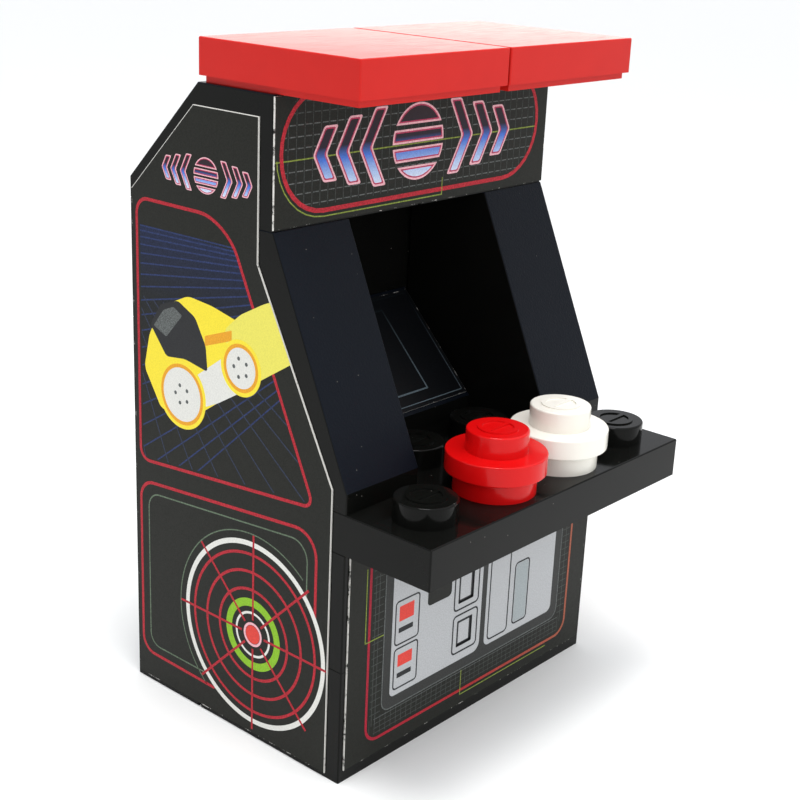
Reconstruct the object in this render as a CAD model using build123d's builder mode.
from build123d import *
import math
import os

# A toy arcade cabinet built from snap-together plastic bricks on an 8 mm stud grid.
# +X is the cabinet's right, +Y its back and +Z up. The origin is on the ground, midway
# between the outer ends of its width and depth.

# building grid
pitch = 8.0
brick_height = 9.6
plate_height = 3.2
cell_gap = 0.1  # every moulding stops this far inside its grid cells

# studs and their sockets
stud_radius = 2.4
stud_height = 1.7
stud_round = 0.15
press_clearance = 0.03  # between a stud and what grips it
tube_bore = stud_radius
mark_height = 0.1  # raised ring and bar moulded on each stud's top
mark_radius = 1.55
mark_width = 0.35

# wall thicknesses
brick_roof = 1.2
plate_roof = 1.0
slope_wall = 0.9
slope_lip = 1.6
edge_round = 0.12

# roof tiles
groove_depth = 0.4
groove_height = 0.5

# round one-stud plates
disc_radius = 3.9
skirt_radius = 3.2
skirt_height = 1.6

# stickers
sticker = 0.15
side_inset = 0.35
side_front_inset = 1.35
side_bottom = 0.4
side_top = 49.55
marquee_margin = 0.12
door_margin = 1.0
screen_margin = 0.35

# levels and faces that follow from the grid
deck_floor = 2 * brick_height
deck_top = deck_floor + plate_height
shelf_top = deck_top + brick_height
wing_top = deck_top + 2 * brick_height
roof_floor = wing_top + brick_height
wall = pitch / 2 - stud_radius - press_clearance - cell_gap
tube_radius = pitch / math.sqrt(2) - stud_radius - press_clearance
pin_radius = pitch / 2 - stud_radius - press_clearance
half_width = 2 * pitch - cell_gap
front_face = -pitch + cell_gap
back_face = 2 * pitch - cell_gap

os.makedirs("parts", exist_ok=True)


def save(block, label):
    block.part.label = label
    export_step(block.part, f"parts/{label}.step")


# The side view of a moulding, (y, z) points running round from its lower front corner.
# A slope falls across one row of cells, down to a short upright lip.
def side_view(front, back, floor, top, slope):
    run = pitch - cell_gap
    if slope == "front":
        upper = [(back, top), (front + run, top), (front, floor + slope_lip)]
    elif slope == "back":
        upper = [(back, floor + slope_lip), (back - run, top), (front, top)]
    else:
        upper = [(back, top), (front, top)]
    return [(front, floor), (back, floor)] + upper


# The side view of its hollow, open at the bottom, with a slope of its own under the outer one.
def hollow_view(front, back, floor, top, slope, roof):
    ceiling = top - roof
    run = pitch - cell_gap
    steepness = (top - floor - slope_lip) / run
    drop = slope_wall * math.hypot(1, steepness)
    low = floor + slope_lip + steepness * wall - drop
    reach = (ceiling - floor - slope_lip + drop) / steepness
    near, far = front + wall, back - wall
    if slope == "front":
        upper = [(far, ceiling), (front + reach, ceiling), (near, low)]
    elif slope == "back":
        upper = [(far, low), (back - reach, ceiling), (near, ceiling)]
    else:
        upper = [(far, ceiling), (near, ceiling)]
    return [(near, floor), (far, floor)] + upper


# The space inside a moulding: its plan, less a tube where four cells meet or a pin where two
# do, kept to the side view of the hollow.
def hollow_space(middle_x, middle_y, columns, rows, floor, height, outline):
    inner_width = columns * pitch - 2 * (cell_gap + wall)
    inner_depth = rows * pitch - 2 * (cell_gap + wall)
    with BuildPart() as space:
        with BuildSketch(Plane((middle_x, middle_y, floor))):
            Rectangle(inner_width, inner_depth)
            if columns > 1 and rows > 1:
                with GridLocations(pitch, pitch, columns - 1, rows - 1):
                    Circle(tube_radius, mode=Mode.SUBTRACT)
                    Circle(tube_bore)
            elif columns > 1 or rows > 1:
                with GridLocations(pitch, pitch, max(columns - 1, 1), max(rows - 1, 1)):
                    Circle(pin_radius, mode=Mode.SUBTRACT)
        extrude(amount=height)
        with BuildSketch(Plane.YZ.offset(middle_x)):
            with BuildLine():
                Polyline(*outline, close=True)
            make_face()
        extrude(amount=inner_width / 2, both=True, mode=Mode.INTERSECT)
    return space.part


# One stud on the origin, with a raised ring and bar on its top.
with BuildPart() as stud:
    with BuildSketch():
        Circle(stud_radius)
    extrude(amount=stud_height)
    fillet(stud.edges().group_by(Axis.Z)[-1], stud_round)
    with BuildSketch(Plane.XY.offset(stud_height)):
        Circle(mark_radius)
        Circle(mark_radius - mark_width, mode=Mode.SUBTRACT)
        Rectangle(2 * mark_radius - mark_width, mark_width)
    extrude(amount=mark_height)


def round_upper_edges(block):
    fillet(block.edges() - block.edges().group_by(Axis.Z)[0], edge_round)


# A brick, plate or sloped brick. left and front count grid lines from the origin, columns and
# rows count cells, and a sloped row carries no studs.
def moulding(label, left, front, columns, rows, floor, height, slope="none"):
    front_y = front * pitch + cell_gap
    back_y = (front + rows) * pitch - cell_gap
    middle_x = (left + columns / 2) * pitch
    middle_y = (front + rows / 2) * pitch
    roof = plate_roof if height == plate_height else brick_roof
    inner = hollow_view(front_y, back_y, floor, floor + height, slope, roof)
    space = hollow_space(middle_x, middle_y, columns, rows, floor, height, inner)
    first_row = front + 1 if slope == "front" else front
    last_row = front + rows - 1 if slope == "back" else front + rows
    stud_places = [
        ((column + 0.5) * pitch, (row + 0.5) * pitch, floor + height)
        for row in range(first_row, last_row)
        for column in range(left, left + columns)
    ]
    with BuildPart() as block:
        with BuildSketch(Plane.YZ.offset(middle_x)):
            with BuildLine():
                Polyline(*side_view(front_y, back_y, floor, floor + height, slope), close=True)
            make_face()
        extrude(amount=columns * pitch / 2 - cell_gap, both=True)
        round_upper_edges(block)
        add(space, mode=Mode.SUBTRACT)
        with Locations(*stud_places):
            add(stud.part)
    save(block, label)


# base: two courses of bricks with staggered joints
moulding("base_front_brick", -2, -1, 4, 2, 0, brick_height)
moulding("base_back_brick", -2, 1, 4, 1, 0, brick_height)
moulding("upper_front_brick", -2, -1, 4, 1, brick_height, brick_height)
moulding("upper_back_brick", -2, 0, 4, 2, brick_height, brick_height)

# control deck: one square plate whose front row of cells overhangs the base
moulding("control_plate", -2, -2, 4, 4, deck_floor, plate_height)

# screen level: sloped wings either side of the sloped screen brick, and the back corners
moulding("side_slope_left", -2, -1, 1, 2, deck_top, 2 * brick_height, "front")
moulding("side_slope_right", 1, -1, 1, 2, deck_top, 2 * brick_height, "front")
moulding("screen_slope", -1, 0, 2, 2, deck_top, brick_height, "front")
moulding("back_corner_brick_left", -2, 1, 1, 1, deck_top, brick_height)
moulding("back_corner_brick_right", 1, 1, 1, 1, deck_top, brick_height)
moulding("back_wall_brick", -2, 1, 4, 1, shelf_top, brick_height)

# marquee: upright to the front, sloping away to the back
moulding("marquee_slope_left", -2, 0, 2, 2, wing_top, brick_height, "back")
moulding("marquee_slope_right", 0, 0, 2, 2, wing_top, brick_height, "back")


# A roof tile has a smooth top, a groove round its foot and one tube inside. It lifts off the
# marquee's studs, and its front row of cells overhangs.
def roof_tile(label, left):
    middle_x = (left + 1) * pitch
    side = 2 * pitch - 2 * cell_gap
    reach = pitch - cell_gap - wall
    ceiling = roof_floor + plate_height - plate_roof
    inner = [(-reach, roof_floor), (reach, roof_floor), (reach, ceiling), (-reach, ceiling)]
    space = hollow_space(middle_x, 0, 2, 2, roof_floor, plate_height, inner)
    with BuildPart() as tile:
        with BuildSketch(Plane((middle_x, 0, roof_floor + groove_height))):
            Rectangle(side, side)
        extrude(amount=plate_height - groove_height)
        round_upper_edges(tile)
        with BuildSketch(Plane((middle_x, 0, roof_floor))):
            Rectangle(side - 2 * groove_depth, side - 2 * groove_depth)
        extrude(amount=groove_height)
        add(space, mode=Mode.SUBTRACT)
    save(tile, label)


roof_tile("roof_tile_left", -2)
roof_tile("roof_tile_right", 0)


# A round plate turns on the stud it is pushed onto: a skirt, a wider disc and a stud on top.
def round_plate(label, x, y):
    disc_floor = deck_top + skirt_height
    disc_top = deck_top + plate_height
    with BuildPart() as plate:
        with BuildSketch(Plane((x, y, disc_floor))):
            Circle(disc_radius)
        disc = extrude(amount=plate_height - skirt_height)
        fillet(disc.edges().filter_by(GeomType.CIRCLE), edge_round)
        with BuildSketch(Plane((x, y, deck_top))):
            Circle(skirt_radius)
        extrude(amount=skirt_height)
        with BuildSketch(Plane((x, y, deck_top))):
            Circle(stud_radius + press_clearance)
        extrude(amount=plate_height - plate_roof, mode=Mode.SUBTRACT)
        with Locations((x, y, disc_top)):
            add(stud.part)
    save(plate, label)


button_row = -1.5 * pitch
round_plate("red_round_plate", -pitch / 2, button_row)
round_plate("white_round_plate", pitch / 2, button_row)


# Each side sticker is one panel cut to the cabinet's side view, set in from its edges.
def side_sticker(label, face_x):
    back = back_face - side_inset
    toe = front_face + side_front_inset
    brow = side_front_inset + cell_gap
    chamfer = pitch + side_inset
    outline = [
        (toe, side_bottom),
        (back, side_bottom),
        (back, side_top - (back - chamfer)),
        (chamfer, side_top),
        (brow, side_top),
        (brow, wing_top - 2 * side_front_inset + edge_round),
        (toe, deck_top + slope_lip),
    ]
    with BuildPart() as panel:
        with BuildSketch(Plane.YZ.offset(face_x)):
            with BuildLine():
                Polyline(*outline, close=True)
            make_face()
        extrude(amount=sticker)
    save(panel, label)


side_sticker("side_sticker_left", -half_width - sticker)
side_sticker("side_sticker_right", half_width)


# An upright sticker on a front face, centred across the cabinet.
def front_sticker(label, width, low, high, face_y):
    with BuildPart() as panel:
        with BuildSketch(Plane((0, face_y, (low + high) / 2), x_dir=(1, 0, 0), z_dir=(0, -1, 0))):
            Rectangle(width, high - low)
        extrude(amount=sticker)
    save(panel, label)


front_sticker(
    "marquee_sticker",
    2 * half_width,
    wing_top + marquee_margin,
    roof_floor - marquee_margin,
    cell_gap,
)
front_sticker(
    "coin_door_sticker",
    2 * (half_width - door_margin / 2),
    door_margin,
    deck_floor - marquee_margin,
    front_face,
)

# The screen sticker lies on the sloped face of the screen brick.
screen_foot = Vector(0, cell_gap, deck_top + slope_lip)
screen_head = Vector(0, pitch, shelf_top)
up_slope = (screen_head - screen_foot).normalized()
screen_plane = Plane(
    origin=(screen_foot + screen_head) / 2, x_dir=(1, 0, 0), z_dir=Vector(1, 0, 0).cross(up_slope)
)
with BuildPart() as screen_sticker:
    with BuildSketch(screen_plane):
        Rectangle(
            2 * (pitch - screen_margin), (screen_head - screen_foot).length - 2 * screen_margin
        )
    extrude(amount=sticker)
save(screen_sticker, "screen_sticker")
